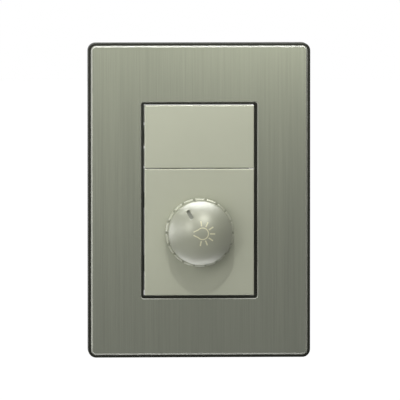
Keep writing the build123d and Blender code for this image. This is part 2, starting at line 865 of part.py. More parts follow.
# Wiper: a spring washer under the rotor, with fingers bent down to the carbon track
wafer_top = flange_bottom - can_depth + can_wall + wafer_thickness
finger_tip = wafer_top + open_play
wiper_bottom = rotor_bottom - wiper_thickness
with BuildPart() as pot_wiper:
    with BuildSketch(ahead(wiper_bottom)):
        with Locations((0, dimmer_z)):
            Circle(wiper_outer)
            Circle(wiper_inner, mode=Mode.SUBTRACT)
    extrude(amount=wiper_thickness)
    with BuildSketch(level(dimmer_z)):
        with BuildLine():
            Polyline(
                (wiper_inner + wiper_thickness, wiper_bottom),
                (wiper_outer - wiper_thickness, finger_tip),
                (wiper_outer, finger_tip),
                (wiper_outer, finger_tip + wiper_thickness),
                (wiper_inner + 3 * wiper_thickness, wiper_bottom),
                close=True,
            )
        make_face()
    finger = extrude(amount=wiper_finger / 2, both=True)
    for turn in range(1, wiper_finger_count):
        add(finger.rotate(dial_axis, turn * 360 / wiper_finger_count))
pot_wiper.part.label = "pot_wiper"
export_step(pot_wiper.part, "parts/pot_wiper.step")

# Bushing: flange, barrel through the dimmer cover, and the stop for the rotor's lug
with BuildPart() as pot_bushing:
    with BuildSketch(ahead(flange_bottom)):
        with Locations((0, dimmer_z)):
            Circle(can_radius)
    extrude(amount=flange_thickness)
    with BuildSketch(ahead(flange_top)):
        with Locations((0, dimmer_z)):
            Circle(bushing_radius)
    extrude(amount=bushing_top - flange_top)
    chamfer(pot_bushing.faces().sort_by(Axis.Y)[0].edges(), length=turn_fit * 6)
    with BuildSketch(ahead(rotor_top + stop_play)):
        with Locations((0, dimmer_z)):
            add(ring_sector(stop_inner, stop_outer, stop_angle, stop_width))
    extrude(amount=flange_bottom - rotor_top - stop_play)
    with BuildSketch(ahead(flange_bottom)):
        with Locations((0, dimmer_z)):
            Circle(shaft_radius + turn_fit)
    extrude(amount=bushing_top - flange_bottom, mode=Mode.SUBTRACT)
pot_bushing.part.label = "pot_bushing"
export_step(pot_bushing.part, "parts/pot_bushing.step")

# Lock washer with teeth round its rim, on the dimmer cover
with BuildPart() as pot_washer:
    with BuildSketch(ahead(face_height)):
        with Locations((0, dimmer_z)):
            Circle(washer_radius)
            with PolarLocations(washer_radius, washer_tooth_count):
                Circle(washer_tooth / 2, mode=Mode.SUBTRACT)
            Circle(bushing_radius + snap_play, mode=Mode.SUBTRACT)
    extrude(amount=washer_thickness)
pot_washer.part.label = "pot_washer"
export_step(pot_washer.part, "parts/pot_washer.step")

# Nut that clamps the bushing to the dimmer cover
nut_base = face_height + washer_thickness
with BuildPart() as pot_nut:
    with BuildSketch(ahead(nut_base)):
        with Locations((0, dimmer_z)):
            RegularPolygon(nut_across_flats / 2, 6, major_radius=False)
            Circle(bushing_radius + slide_fit, mode=Mode.SUBTRACT)
    extrude(amount=nut_height)
pot_nut.part.label = "pot_nut"
export_step(pot_nut.part, "parts/pot_nut.step")

# Can: the pressed cup round the rotor, open on its lower side for the lugs
can_bottom = flange_bottom - can_depth
with BuildPart() as pot_can:
    with BuildSketch(ahead(can_bottom)):
        with Locations((0, dimmer_z)):
            Circle(can_radius)
    extrude(amount=can_depth)
    fillet(pot_can.faces().sort_by(Axis.Y)[-1].edges(), radius=can_wall * 0.8)
    with BuildSketch(ahead(can_bottom + can_wall)):
        with Locations((0, dimmer_z)):
            Circle(can_radius - can_wall)
    extrude(amount=can_depth - can_wall, mode=Mode.SUBTRACT)
    with BuildSketch(ahead(wafer_top - slide_fit)):
        with Locations((0, dimmer_z - can_radius)):
            Rectangle(2 * lug_pitch + 2 * lug_width, 8 * can_wall)
    extrude(amount=lug_thickness + 2 * slide_fit, mode=Mode.SUBTRACT)
pot_can.part.label = "pot_can"
export_step(pot_can.part, "parts/pot_can.step")

# Wafer: the disc that carries the carbon track, on the bottom of the can
wafer_radius = can_radius - can_wall - snap_play
with BuildPart() as pot_wafer:
    with BuildSketch(ahead(can_bottom + can_wall)):
        with Locations((0, dimmer_z)):
            Circle(wafer_radius)
    extrude(amount=wafer_thickness)
pot_wafer.part.label = "pot_wafer"
export_step(pot_wafer.part, "parts/pot_wafer.step")

# Three lugs from the wafer out of the can and down through the circuit board
pin_tip = board_back - pin_through
lug_columns = (-lug_pitch, 0, lug_pitch)
lug_z = dimmer_z - lug_reach + lug_thickness / 2
with BuildPart() as pot_lugs:
    for lug_x in lug_columns:
        with BuildSketch(upright(lug_x)):
            with BuildLine():
                Polyline(
                    (dimmer_z - wafer_radius + lug_overlap, wafer_top),
                    (dimmer_z - wafer_radius + lug_overlap, wafer_top + lug_thickness),
                    (dimmer_z - lug_reach, wafer_top + lug_thickness),
                    (dimmer_z - lug_reach, pin_tip),
                    (dimmer_z - lug_reach + lug_thickness, pin_tip),
                    (dimmer_z - lug_reach + lug_thickness, wafer_top),
                    close=True,
                )
            make_face()
        extrude(amount=lug_width / 2, both=True)
pot_lugs.part.label = "pot_lugs"
export_step(pot_lugs.part, "parts/pot_lugs.step")

# Rotary switch behind the can, on two pins that stand in the circuit board
switch_bottom = can_bottom - switch_depth
with BuildPart() as rotary_switch:
    with BuildSketch(ahead(switch_bottom)):
        with Locations((0, dimmer_z)):
            RectangleRounded(switch_width, switch_height, filter_corner)
    extrude(amount=switch_depth)
    with BuildSketch(ahead(switch_bottom)):
        with Locations((0, dimmer_z)):
            with GridLocations(switch_pin_pitch, 1, 2, 1):
                Rectangle(lug_width, lug_thickness)
    extrude(amount=pin_tip - switch_bottom)
rotary_switch.part.label = "rotary_switch"
export_step(rotary_switch.part, "parts/rotary_switch.step")

# Circuit board on the corner posts of the housing, drilled for every pin
wall_x = inner_width / 2
sink_back_z = dimmer_z - inner_height / 2 + sink_end_gap
sink_front_z = sink_back_z + sink_thickness
winding_width = choke_width + 2 * winding_thickness
clip_radius = fuse_radius + slide_fit + clip_thickness
choke_side = choke_side_gap + winding_width / 2 - wall_x
choke_z = dimmer_z - choke_drop
timing_side = wall_x - timing_side_gap - timing_width / 2
timing_z = sink_front_z + timing_end_gap + timing_thickness / 2
filter_side = wall_x - filter_side_gap - filter_width / 2
filter_z = timing_z + timing_thickness / 2 + filter_end_gap + filter_length / 2
resistor_side = resistor_side_gap + resistor_span / 2 - wall_x
resistor_z = dimmer_z + resistor_rise
diac_side = wall_x - diac_side_gap - diac_span / 2
diac_z = dimmer_z + diac_rise
fuse_z = dimmer_z + inner_height / 2 - fuse_end_gap - clip_radius
triac_leg_z = sink_front_z + triac_leg_inset
choke_pin_pitch = choke_width
filter_pin_pitch = filter_length * 0.8
timing_pin_pitch = timing_width * 0.7
clamp_pin_pitch = clamp_width * 0.6
pin_hole = pin_radius + pin_fit
with BuildPart() as circuit_board:
    with BuildSketch(ahead(board_back)):
        with Locations((0, dimmer_z)):
            Rectangle(inner_width - 2 * open_play, inner_height - 2 * open_play)
        with Locations(*[(lug_x, lug_z) for lug_x in lug_columns]):
            Rectangle(lug_width + 2 * pin_fit, lug_thickness + 2 * pin_fit, mode=Mode.SUBTRACT)
        with Locations((0, dimmer_z)):
            with GridLocations(switch_pin_pitch, 1, 2, 1):
                Rectangle(
                    lug_width + 2 * pin_fit, lug_thickness + 2 * pin_fit, mode=Mode.SUBTRACT
                )
        with Locations((choke_side, choke_z)):
            with GridLocations(choke_pin_pitch, 1, 2, 1):
                Circle(pin_hole, mode=Mode.SUBTRACT)
        with Locations((filter_side, filter_z)):
            with GridLocations(1, filter_pin_pitch, 1, 2):
                Circle(pin_hole, mode=Mode.SUBTRACT)
        with Locations((timing_side, timing_z)):
            with GridLocations(timing_pin_pitch, 1, 2, 1):
                Circle(pin_hole, mode=Mode.SUBTRACT)
        with Locations((resistor_side, resistor_z)):
            with GridLocations(resistor_span, resistor_pitch, 2, resistor_count):
                Circle(pin_hole, mode=Mode.SUBTRACT)
        with Locations((diac_side, diac_z)):
            with GridLocations(diac_span, 1, 2, 1):
                Circle(pin_hole, mode=Mode.SUBTRACT)
        with Locations((0, triac_leg_z)):
            with GridLocations(triac_leg_pitch, 1, 3, 1):
                Circle(pin_hole, mode=Mode.SUBTRACT)
        with Locations((0, terminal_z)):
            with GridLocations(terminal_pitch, 1, 3, 1):
                with GridLocations(clamp_pin_pitch, 1, 2, 1):
                    Circle(pin_hole, mode=Mode.SUBTRACT)
    extrude(amount=board_thickness)
circuit_board.part.label = "circuit_board"
export_step(circuit_board.part, "parts/circuit_board.step")

# Choke: a powder ring standing on edge beside the potentiometer
choke_height = board_top + choke_radius + winding_thickness + snap_play
with BuildPart() as choke_core:
    with BuildSketch(upright(choke_side)):
        with Locations((choke_z, choke_height)):
            Circle(choke_radius)
            Circle(choke_hole, mode=Mode.SUBTRACT)
    extrude(amount=choke_width / 2, both=True)
choke_core.part.label = "choke_core"
export_step(choke_core.part, "parts/choke_core.step")

# Winding: the coat of wire round the ring, grooved between its turns, on two pins
with BuildPart() as choke_winding:
    with BuildSketch(upright(choke_side)):
        with Locations((choke_z, choke_height)):
            Circle(choke_radius + winding_thickness)
            Circle(choke_hole - winding_thickness, mode=Mode.SUBTRACT)
    extrude(amount=winding_width / 2, both=True)
    for groove_side in (-1, 1):
        groove_x = choke_side + groove_side * (winding_width - winding_groove_depth) / 2
        with BuildSketch(upright(groove_x)):
            with Locations((choke_z, choke_height)):
                with PolarLocations((choke_radius + choke_hole) / 2, winding_turns):
                    Rectangle(choke_radius - choke_hole, winding_groove)
        extrude(amount=winding_groove_depth / 2, both=True, mode=Mode.SUBTRACT)
    with BuildSketch(ahead(pin_tip)):
        with Locations((choke_side, choke_z)):
            with GridLocations(choke_pin_pitch, 1, 2, 1):
                Circle(pin_radius)
    extrude(amount=board_top + winding_thickness / 2 - pin_tip)
    with BuildSketch(upright(choke_side)):
        with Locations((choke_z, choke_height)):
            Circle(choke_radius + slide_fit)
            Circle(choke_hole - slide_fit, mode=Mode.SUBTRACT)
    extrude(amount=choke_width / 2 + slide_fit, both=True, mode=Mode.SUBTRACT)
choke_winding.part.label = "choke_winding"
export_step(choke_winding.part, "parts/choke_winding.step")

# Filter capacitor: a potted box on two pins
with BuildPart() as filter_capacitor:
    with BuildSketch(ahead(board_top)):
        with Locations((filter_side, filter_z)):
            RectangleRounded(filter_width, filter_length, filter_corner)
    extrude(amount=filter_height)
    fillet(filter_capacitor.faces().sort_by(Axis.Y)[0].edges(), radius=filter_corner / 2)
    with BuildSketch(ahead(board_top)):
        with Locations((filter_side, filter_z)):
            with GridLocations(1, filter_pin_pitch, 1, 2):
                Circle(pin_radius)
    extrude(amount=pin_tip - board_top)
filter_capacitor.part.label = "filter_capacitor"
export_step(filter_capacitor.part, "parts/filter_capacitor.step")

# Timing capacitor: a thin film block on two pins
with BuildPart() as timing_capacitor:
    with BuildSketch(ahead(board_top)):
        with Locations((timing_side, timing_z)):
            RectangleRounded(timing_width, timing_thickness, filter_corner)
    extrude(amount=timing_height)
    with BuildSketch(ahead(board_top)):
        with Locations((timing_side, timing_z)):
            with GridLocations(timing_pin_pitch, 1, 2, 1):
                Circle(pin_radius)
    extrude(amount=pin_tip - board_top)
timing_capacitor.part.label = "timing_capacitor"
export_step(timing_capacitor.part, "parts/timing_capacitor.step")

# Resistors in a row, and the trigger diode
resistor = axial_component(resistor_radius, resistor_length, resistor_span, resistor_radius / 3)
with BuildPart() as resistors:
    for row in range(resistor_count):
        row_z = resistor_z + (row - (resistor_count - 1) / 2) * resistor_pitch
        with Locations((resistor_side, 0, row_z)):
            add(resistor)
resistors.part.label = "resistors"
export_step(resistors.part, "parts/resistors.step")

trigger_diode = axial_component(diac_radius, diac_length, diac_span, diac_radius / 4)
with BuildPart() as diac:
    with Locations((diac_side, 0, diac_z)):
        add(trigger_diode)
diac.part.label = "diac"
export_step(diac.part, "parts/diac.step")

# Heat sink: an aluminium angle that stands on the board along the lower end wall
triac_bottom = board_top + triac_leg
tab_bottom = triac_bottom + triac_body_height
hole_height = tab_bottom + triac_hole_rise
with BuildPart() as heat_sink:
    with BuildSketch(upright(0)):
        with BuildLine():
            Polyline(
                (sink_back_z, board_top),
                (sink_back_z, sink_top),
                (sink_back_z + sink_flange, sink_top),
                (sink_back_z + sink_flange, sink_top - sink_flange_thickness),
                (sink_front_z, sink_top - sink_flange_thickness),
                (sink_front_z, board_top),
                close=True,
            )
        make_face()
    extrude(amount=sink_width / 2, both=True)
    with BuildSketch(level(sink_front_z)):
        with Locations((0, hole_height)):
            Circle(triac_screw_radius + slide_fit)
    extrude(amount=sink_thickness, mode=Mode.SUBTRACT)
heat_sink.part.label = "heat_sink"
export_step(heat_sink.part, "parts/heat_sink.step")

# Triac: a power package with its tab flat on the heat sink and its legs in the board
with BuildPart() as triac:
    with BuildSketch(level(sink_front_z)):
        with Locations((0, triac_bottom + triac_body_height / 2)):
            Rectangle(triac_width, triac_body_height)
    extrude(amount=-triac_thickness)
    with BuildSketch(level(sink_front_z)):
        with Locations((0, tab_bottom + triac_tab_height / 2)):
            Rectangle(triac_width, triac_tab_height)
    extrude(amount=-triac_tab_thickness)
    with BuildSketch(ahead(pin_tip)):
        with Locations((0, triac_leg_z)):
            with GridLocations(triac_leg_pitch, 1, 3, 1):
                Rectangle(triac_leg_width, lug_thickness)
    extrude(amount=triac_bottom - pin_tip)
    with BuildSketch(level(sink_front_z)):
        with Locations((0, hole_height)):
            Circle(triac_screw_radius + slide_fit)
    extrude(amount=-triac_tab_thickness, mode=Mode.SUBTRACT)
triac.part.label = "triac"
export_step(triac.part, "parts/triac.step")

# Screw that clamps the triac's tab to the heat sink
tab_front_z = sink_front_z + triac_tab_thickness
with BuildPart() as triac_screw:
    with BuildSketch(level(tab_front_z)):
        with Locations((0, hole_height)):
            Circle(triac_screw_radius)
    extrude(amount=triac_tab_thickness + sink_thickness)
    with BuildSketch(level(tab_front_z)):
        with Locations((0, hole_height)):
            Circle(triac_head_radius)
    extrude(amount=-triac_head_height)
    fillet(triac_screw.faces().sort_by(Axis.Z)[-1].edges(), radius=triac_head_height / 3)
triac_screw.part.label = "triac_screw"
export_step(triac_screw.part, "parts/triac_screw.step")

# Fuse link: a glass tube between two caps
fuse_height = board_top + fuse_lift
with BuildPart() as fuse_link:
    with BuildSketch(upright(-fuse_length / 2)):
        with Locations((fuse_z, fuse_height)):
            Circle(fuse_glass_radius)
    extrude(amount=fuse_length)
    for cap_x in (-fuse_length / 2, fuse_length / 2 - fuse_cap):
        with BuildSketch(upright(cap_x)):
            with Locations((fuse_z, fuse_height)):
                Circle(fuse_radius)
        extrude(amount=fuse_cap)
fuse_link.part.label = "fuse_link"
export_step(fuse_link.part, "parts/fuse_link.step")

# Two spring clips that hold the fuse on the board
with BuildPart() as fuse_clips:
    for clip_x in (-clip_side, clip_side):
        with BuildSketch(upright(clip_x)):
            with Locations((fuse_z, fuse_height)):
                Circle(clip_radius)
            with Locations((fuse_z, (fuse_height + board_top) / 2)):
                Rectangle(2 * clip_thickness, fuse_lift)
            with Locations((fuse_z, board_top + clip_thickness / 2)):
                Rectangle(2 * fuse_radius, clip_thickness)
            with Locations((fuse_z, fuse_height)):
                Circle(fuse_radius + slide_fit, mode=Mode.SUBTRACT)
            with Locations((fuse_z, fuse_height + fuse_radius)):
                Rectangle(fuse_radius, 2 * fuse_radius, mode=Mode.SUBTRACT)
        extrude(amount=clip_width / 2, both=True)
fuse_clips.part.label = "fuse_clips"
export_step(fuse_clips.part, "parts/fuse_clips.step")

# Terminal clamps: three cages behind the board, open towards the wire entries
wire_middle = (0, wire_height)
with BuildPart() as terminal_clamps:
    with BuildSketch(ahead(clamp_back)):
        with Locations((0, terminal_z)):
            with GridLocations(terminal_pitch, 1, 3, 1):
                Rectangle(clamp_width, clamp_length)
    extrude(amount=board_back - clamp_back)
    with BuildSketch(level(terminal_z)):
        with Locations(wire_middle):
            with GridLocations(terminal_pitch, 1, 3, 1):
                Rectangle(clamp_width - 2 * clamp_side_wall, wire_space)
    extrude(amount=clamp_length / 2, both=True, mode=Mode.SUBTRACT)
    with BuildSketch(ahead(clamp_back)):
        with Locations((0, terminal_z)):
            with GridLocations(terminal_pitch, 1, 3, 1):
                Circle(clamp_screw_radius + slide_fit)
    extrude(amount=clamp_rear_wall, mode=Mode.SUBTRACT)
    with BuildSketch(ahead(board_back)):
        with Locations((0, terminal_z)):
            with GridLocations(terminal_pitch, 1, 3, 1):
                with GridLocations(clamp_pin_pitch, 1, 2, 1):
                    Circle(pin_radius)
    extrude(amount=board_thickness + pin_through)
terminal_clamps.part.label = "terminal_clamps"
export_step(terminal_clamps.part, "parts/terminal_clamps.step")

# Terminal screws: three slotted screws driven from the back of the housing
with BuildPart() as terminal_screws:
    with BuildSketch(ahead(clamp_back)):
        with Locations((0, terminal_z)):
            with GridLocations(terminal_pitch, 1, 3, 1):
                Circle(clamp_screw_radius)
    extrude(amount=clamp_rear_wall + clamp_screw_reach)
    with BuildSketch(ahead(clamp_back)):
        with Locations((0, terminal_z)):
            with GridLocations(terminal_pitch, 1, 3, 1):
                Circle(clamp_screw_head_radius)
    extrude(amount=-clamp_screw_head_height)
    with BuildSketch(ahead(clamp_back - clamp_screw_head_height)):
        with Locations((0, terminal_z)):
            with GridLocations(terminal_pitch, 1, 3, 1):
                Rectangle(2 * clamp_screw_head_radius, screw_recess_width)
    extrude(amount=clamp_screw_head_height / 2, mode=Mode.SUBTRACT)
terminal_screws.part.label = "terminal_screws"
export_step(terminal_screws.part, "parts/terminal_screws.step")
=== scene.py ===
import json
import math
import bpy
import bmesh
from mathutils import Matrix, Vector
from mathutils.bvhtree import BVHTree


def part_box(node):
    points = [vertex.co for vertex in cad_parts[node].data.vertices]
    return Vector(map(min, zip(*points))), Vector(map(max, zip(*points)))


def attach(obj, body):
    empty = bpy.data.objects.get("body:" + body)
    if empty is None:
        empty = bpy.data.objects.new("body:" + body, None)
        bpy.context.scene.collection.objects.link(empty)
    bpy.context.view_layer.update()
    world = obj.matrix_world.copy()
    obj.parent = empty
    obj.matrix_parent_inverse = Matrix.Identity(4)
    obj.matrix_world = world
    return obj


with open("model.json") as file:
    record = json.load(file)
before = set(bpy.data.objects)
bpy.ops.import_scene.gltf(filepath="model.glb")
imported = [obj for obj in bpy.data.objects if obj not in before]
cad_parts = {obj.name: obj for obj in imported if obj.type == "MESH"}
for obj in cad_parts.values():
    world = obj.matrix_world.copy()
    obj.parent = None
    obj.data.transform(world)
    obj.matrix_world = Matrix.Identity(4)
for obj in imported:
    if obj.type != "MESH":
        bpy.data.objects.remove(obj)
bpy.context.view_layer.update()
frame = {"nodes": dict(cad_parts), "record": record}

# The dial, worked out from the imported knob, in metres
knob_low, knob_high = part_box("knob")
dial_centre = (knob_low + knob_high) / 2
dome_front = knob_low.y
dome_edge_radius = 0.01215
dome_rise = 0.0052
dome_radius = (dome_edge_radius ** 2 + dome_rise ** 2) / (2 * dome_rise)
dome_middle = Vector((dial_centre.x, dome_front + dome_radius, dial_centre.z))

# The pointer sunk into the dome: how far out it lies, its angle from the right, and its reach
pointer_out = 0.0084
pointer_angle = math.radians(120)
pointer_reach = 0.0032

# The lamp printed on the dome: its bulb from the dial's centre, and the rest from the bulb's
bulb_centre = (0.0006, 0.0001)
bulb_radius = 0.0022
bulb_opening = math.radians(42)
neck_reach = 0.0035
neck_half_width = 0.0006
outline_width = 0.0004
middle_ray = -1.4
ray_spacing = 33.1
rays_each_side = 3
ray_angles = [
    math.radians(middle_ray + turn * ray_spacing)
    for turn in range(-rays_each_side, rays_each_side + 1)
]
ray_start = 0.0028
ray_end = 0.0048
ray_width = 0.0005

# How far the print stands off the dome and reaches into it, the longest of its steps,
# and how far in front of the dome the search for each of its points starts
print_lift = 0.00002
print_step = 0.00015
print_search = 0.01

# The rounding of the modules' sharp edges: its width, its steps and the angle from which an edge
# counts as sharp. Points that lie together along a solid's seams, within this reach, are joined.
edge_width = 0.00008
edge_steps = 2
edge_angle = math.radians(40)
seam_reach = 0.000001

# The photographed view: a very long lens, a little to the left of the plate and above it
lens_length = 800.0
frame_width = 0.1524
view_azimuth = math.radians(-3.0)
view_elevation = math.radians(3.1)
view_centre = Vector((0.00024, -0.0083, 0.00014))
nearest_seen = 0.01
farthest_seen = 20.0

# The floor: its height, its half width, its tone, and how far it glows for the camera
floor_level = -0.2
floor_reach = 6.0
floor_tone = (0.85, 0.85, 0.84)
floor_glow = 0.94

# The studio: the level all round, and each lamp's place, target, width, height, power and colour.
# The soft lamps light the surfaces, and the sheen lamps show only in their shine.
ambient_level = 0.1
white = (1.0, 1.0, 1.0)
warm = (1.0, 1.0, 0.86)
soft_lamps = {
    "key_lamp": ((-0.03, -0.34, 0.45), (0, 0, 0), 0.012, 0.012, 1.1, white),
    "high_left_lamp": ((-0.24, -0.20, 0.52), (0, 0, 0), 0.10, 0.10, 0.36, white),
    "overhead_lamp": ((0.0, -0.07, 0.32), (0, -0.02, -0.01), 0.22, 0.22, 0.36, white),
    "left_lamp": ((-0.16, -0.18, 0.03), (0, 0, 0), 0.24, 0.24, 0.22, white),
}
sheen_lamps = {
    "facing_sheen": ((0.044, -0.20, 0.13), (0, 0, 0.02), 0.09, 0.08, 0.65, warm),
    "dome_sheen": ((0.0, -0.04, 0.20), (0, -0.015, 0), 0.30, 0.05, 1.45, white),
    "glow_sheen": ((-0.14, -0.26, 0.065), (0, 0, 0), 0.05, 0.12, 0.50, warm),
    "low_sheen": ((-0.03, -0.012, -0.16), (-0.03, -0.015, 0), 0.30, 0.03, 0.34, white),
    "left_sheen": ((-0.20, -0.14, 0.02), (0, -0.01, 0), 0.06, 0.12, 0.15, white),
    "edge_sheen": ((-0.30, -0.05, 0.0), (0, -0.008, 0), 0.05, 0.20, 0.5, white),
}

# The plain finishes: two tones each, and the range of the roughness
plastics = {
    "frame_plastic": ((0.045, 0.046, 0.045), (0.060, 0.061, 0.059), (0.40, 0.52)),
    "housing_plastic": ((0.035, 0.035, 0.036), (0.050, 0.050, 0.050), (0.42, 0.55)),
    "dark_plastic": ((0.020, 0.020, 0.020), (0.032, 0.032, 0.032), (0.35, 0.50)),
    "shaft_plastic": ((0.68, 0.67, 0.62), (0.74, 0.73, 0.68), (0.35, 0.45)),
    "laminate": ((0.32, 0.23, 0.09), (0.38, 0.28, 0.12), (0.45, 0.60)),
    "powder_core": ((0.50, 0.44, 0.09), (0.56, 0.50, 0.12), (0.40, 0.50)),
    "capacitor_yellow": ((0.70, 0.50, 0.07), (0.76, 0.56, 0.10), (0.22, 0.32)),
    "capacitor_red": ((0.40, 0.06, 0.03), (0.48, 0.08, 0.05), (0.20, 0.30)),
    "resistor_body": ((0.56, 0.44, 0.29), (0.62, 0.50, 0.34), (0.25, 0.35)),
}
plated_metals = {
    "copper_wire": ((0.62, 0.26, 0.10), (0.72, 0.34, 0.15), (0.22, 0.34)),
    "zinc_steel": ((0.56, 0.56, 0.54), (0.66, 0.66, 0.63), (0.24, 0.36)),
    "spring_steel": ((0.50, 0.50, 0.48), (0.58, 0.58, 0.56), (0.18, 0.28)),
    "plated_brass": ((0.66, 0.52, 0.27), (0.74, 0.60, 0.34), (0.22, 0.34)),
}


def link(obj):
    bpy.context.scene.collection.objects.link(obj)
    return obj


def connect(tree, node, inputs):
    """Gives each of a node's inputs its value, or the output that feeds it."""
    for label, value in inputs.items():
        if isinstance(value, bpy.types.NodeSocket):
            tree.links.new(value, node.inputs[label])
        else:
            node.inputs[label].default_value = value


def add_node(tree, kind, inputs, **settings):
    """A new shader node with its settings and inputs."""
    node = tree.nodes.new(kind)
    for name, value in settings.items():
        setattr(node, name, value)
    connect(tree, node, inputs)
    return node


def calculate(tree, operation, *values):
    """The result of one step of arithmetic."""
    step = add_node(tree, "ShaderNodeMath", dict(enumerate(values)), operation=operation)
    return step.outputs[0]


def rescale(tree, value, ends):
    """A value brought from one range into another, and held inside it."""
    return add_node(tree, "ShaderNodeMapRange", {"Value": value, **ends}).outputs["Result"]


def split_vector(tree, vector):
    return add_node(tree, "ShaderNodeSeparateXYZ", {0: vector}).outputs


def distance(tree, place, point):
    """How far a place on the surface lies from a point."""
    between = add_node(tree, "ShaderNodeVectorMath", {0: place, 1: point}, operation="DISTANCE")
    return between.outputs["Value"]


def noise(tree, place, scale, detail, roughness=0.5):
    inputs = {"Vector": place, "Scale": scale, "Detail": detail, "Roughness": roughness}
    return add_node(tree, "ShaderNodeTexNoise", inputs).outputs["Fac"]


def bumped_normal(tree, height, depth):
    bump = add_node(tree, "ShaderNodeBump", {"Height": height, "Distance": depth})
    return bump.outputs["Normal"]


def surface(tree, kind):
    """The place of the surface on its object, or its normal there."""
    return tree.nodes.new("ShaderNodeTexCoord").outputs[kind]


def new_group(name, inputs, outputs):
    """An empty shader node group with named number inputs, and outputs given by kind."""
    group = bpy.data.node_groups.new(name, "ShaderNodeTree")
    for label, value in inputs.items():
        socket = group.interface.new_socket(label, in_out="INPUT", socket_type="NodeSocketFloat")
        socket.default_value = value
    for label, kind in outputs.items():
        group.interface.new_socket(label, in_out="OUTPUT", socket_type=kind)
    return group, group.nodes.new("NodeGroupInput").outputs, group.nodes.new("NodeGroupOutput")


def brushed_lines_group():
    """Long fine scratches along Z, with broader bands behind them."""
    bands_per_line = 0.07
    group, given, result = new_group(
        "brushed_lines",
        {"Lines per metre": 9000.0, "Stretch": 120.0, "Depth": 0.00001},
        {"Lines": "NodeSocketFloat", "Bands": "NodeSocketFloat", "Normal": "NodeSocketVector"},
    )
    place = split_vector(group, surface(group, "Object"))
    height = calculate(group, "DIVIDE", place["Z"], given["Stretch"])
    drawn_out = add_node(
        group, "ShaderNodeCombineXYZ", {"X": place["X"], "Y": place["Y"], "Z": height}
    ).outputs[0]
    lines = noise(group, drawn_out, given["Lines per metre"], detail=3.0, roughness=0.65)
    bands_per_metre = calculate(group, "MULTIPLY", given["Lines per metre"], bands_per_line)
    bands = noise(group, drawn_out, bands_per_metre, detail=2.0)
    normal = bumped_normal(group, lines, given["Depth"])
    connect(group, result, {"Lines": lines, "Bands": bands, "Normal": normal})
    return group


def moulded_skin_group():
    """The fine orange-peel skin of a moulded or lacquered face, with soft clouds of tone."""
    group, given, result = new_group(
        "moulded_skin",
        {"Grains per metre": 9000.0, "Clouds per metre": 60.0, "Depth": 0.000004},
        {"Grain": "NodeSocketFloat", "Clouds": "NodeSocketFloat", "Normal": "NodeSocketVector"},
    )
    place = surface(group, "Object")
    grain = noise(group, place, given["Grains per metre"], detail=2.0)
    clouds = noise(group, place, given["Clouds per metre"], detail=3.0)
    normal = bumped_normal(group, grain, given["Depth"])
    connect(group, result, {"Grain": grain, "Clouds": clouds, "Normal": normal})
    return group


def cut_edge_group():
    """1 on the faces that are cut at a slant, such as a bevel, and 0 on the flat front."""
    group, given, result = new_group(
        "cut_edge", {"Flattest": 0.97, "Steepest": 0.90}, {"Mask": "NodeSocketFloat"}
    )
    frontward = calculate(group, "ABSOLUTE", split_vector(group, surface(group, "Normal"))["Y"])
    mask = rescale(
        group, frontward, {"From Min": given["Flattest"], "From Max": given["Steepest"]}
    )
    connect(group, result, {"Mask": mask})
    return group


def pointer_shade_mask_group():
    """1 inside the sunk pointer, where shade is painted in, and 0 on the dome round it."""
    group, given, result = new_group(
        "pointer_shade_mask", {"Shallow": 0.0001, "Deep": 0.0005}, {"Mask": "NodeSocketFloat"}
    )
    pointer = dome_middle + Vector((
        pointer_out * math.cos(pointer_angle),
        -math.sqrt(dome_radius ** 2 - pointer_out ** 2),
        pointer_out * math.sin(pointer_angle),
    ))
    place = surface(group, "Object")
    depth = calculate(group, "SUBTRACT", dome_radius, distance(group, place, dome_middle))
    sunk = rescale(group, depth, {"From Min": given["Shallow"], "From Max": given["Deep"]})
    near = calculate(group, "LESS_THAN", distance(group, place, pointer), pointer_reach)
    connect(group, result, {"Mask": calculate(group, "MULTIPLY", sunk, near)})
    return group


def lobe_gloss_and_highlight_group():
    """1 on the lobes round the knob's skirt, where a highlight is painted in, and 0 on the dome
    inside them.
    """
    group, given, result = new_group(
        "lobe_gloss_and_highlight", {"Inner": 0.0122, "Outer": 0.0124}, {"Mask": "NodeSocketFloat"}
    )
    # The depth is left out, so that only the distance from the knob's axis counts
    without_depth = add_node(
        group,
        "ShaderNodeVectorMath",
        {0: surface(group, "Object"), 1: (1, 0, 1)},
        operation="MULTIPLY",
    ).outputs["Vector"]
    reach = distance(group, without_depth, (dial_centre.x, 0, dial_centre.z))
    mask = rescale(group, reach, {"From Min": given["Inner"], "From Max": given["Outer"]})
    connect(group, result, {"Mask": mask})
    return group


brushed_lines = brushed_lines_group()
moulded_skin = moulded_skin_group()
cut_edge = cut_edge_group()
pointer_shade_mask = pointer_shade_mask_group()
lobe_gloss_and_highlight = lobe_gloss_and_highlight_group()


def set_shader(material, inputs):
    connect(material.node_tree, material.node_tree.nodes["Principled BSDF"], inputs)


def new_material(name, metallic, roughness):
    material = bpy.data.materials.new(name)
    material.use_nodes = True
    set_shader(material, {"Metallic": metallic, "Roughness": roughness})
    return material


def place_group(material, group, values):
    return add_node(material.node_tree, "ShaderNodeGroup", values, node_tree=group).outputs


def mix(material, mask, low, high, kind="RGBA"):
    """A colour or number that goes from one value to the other with the mask."""
    inputs = {"Factor": mask, "A": low, "B": high}
    return add_node(material.node_tree, "ShaderNodeMix", inputs, data_type=kind).outputs["Result"]


def lay_over(material, mask, label, value):
    """Lays one value over the shader's own where the mask is 1."""
    target = material.node_tree.nodes["Principled BSDF"].inputs[label]
    below = target.links[0].from_socket if target.links else target.default_value
    kind = "RGBA" if label == "Base Color" else "FLOAT"
    set_shader(material, {label: mix(material, mask, below, value, kind)})


def finish_surface(material, tone_mask, tones, rough_mask, rough, normal):
    """Spreads two tones and a range of roughness over a material, and gives it its relief."""
    low, high = tones
    range_ends = {"To Min": rough[0], "To Max": rough[1]}
    set_shader(material, {
        "Base Color": mix(material, tone_mask, (*low, 1), (*high, 1)),
        "Roughness": rescale(material.node_tree, rough_mask, range_ends),
        "Normal": normal,
    })


